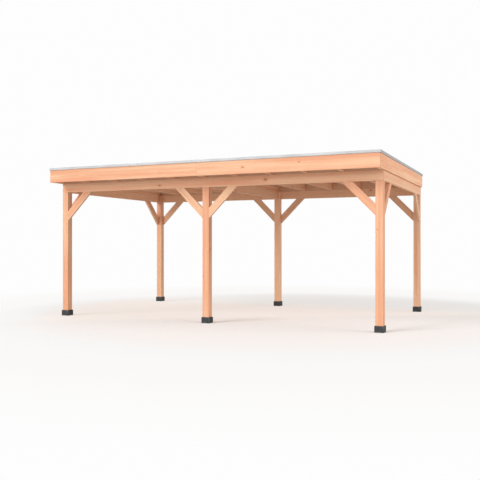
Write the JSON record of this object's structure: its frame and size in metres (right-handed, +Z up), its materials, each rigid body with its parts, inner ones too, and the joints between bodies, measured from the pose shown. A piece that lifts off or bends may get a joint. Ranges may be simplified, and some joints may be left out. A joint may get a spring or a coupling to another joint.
{
  "type": "patio cover",
  "caption": "Flat-roofed open timber patio cover on square posts with knee braces, dark foot blocks, boarded fascias and a light metal roof trim.",
  "frame": {"origin": "middle of the whole cover on the floor, under the centre of the roof trim", "axes": "+X along the long side to the right, seen from the front; +Y to the back, away from the deep roof overhang; +Z up"},
  "size_m": [6.02, 3.825, 2.7],
  "materials": {
    "foot": "matte charcoal, as cast",
    "post": "planed softwood, untreated",
    "beam": "planed softwood, untreated",
    "brace": "planed softwood, untreated",
    "rafter": "planed softwood, untreated",
    "fascia": "planed softwood, untreated",
    "deck": "planed softwood, untreated",
    "skin": "matte black sheet",
    "trim": "satin, light grey"
  },
  "bodies": {
    "root": {"foot_front_left": "foot", "foot_front_middle": "foot", "foot_front_right": "foot", "foot_back_left": "foot", "foot_back_middle": "foot", "foot_back_right": "foot", "post_front_left": "post", "post_front_middle": "post", "post_front_right": "post", "post_back_left": "post", "post_back_middle": "post", "post_back_right": "post", "beam_front_left": "beam", "beam_front_right": "beam", "beam_back_left": "beam", "beam_back_right": "beam", "beam_side_left": "beam", "beam_side_right": "beam", "beam_cross": "beam", "brace_front_left": "brace", "brace_front_middle_left": "brace", "brace_front_middle_right": "brace", "brace_front_right": "brace", "brace_back_left": "brace", "brace_back_middle_left": "brace", "brace_back_middle_right": "brace", "brace_back_right": "brace", "brace_side_left_front": "brace", "brace_side_left_back": "brace", "brace_side_right_front": "brace", "brace_side_right_back": "brace", "rafters": "rafter", "blocking": "rafter", "fascia_front_left": "fascia", "fascia_front_right": "fascia", "fascia_back_left": "fascia", "fascia_back_right": "fascia", "fascia_side_left": "fascia", "fascia_side_right": "fascia", "kerb_long": "rafter", "kerb_short": "rafter", "roof_deck": "deck", "roof_skin": "skin", "trim_long": "trim", "trim_short": "trim"}
  },
  "joints": []
}
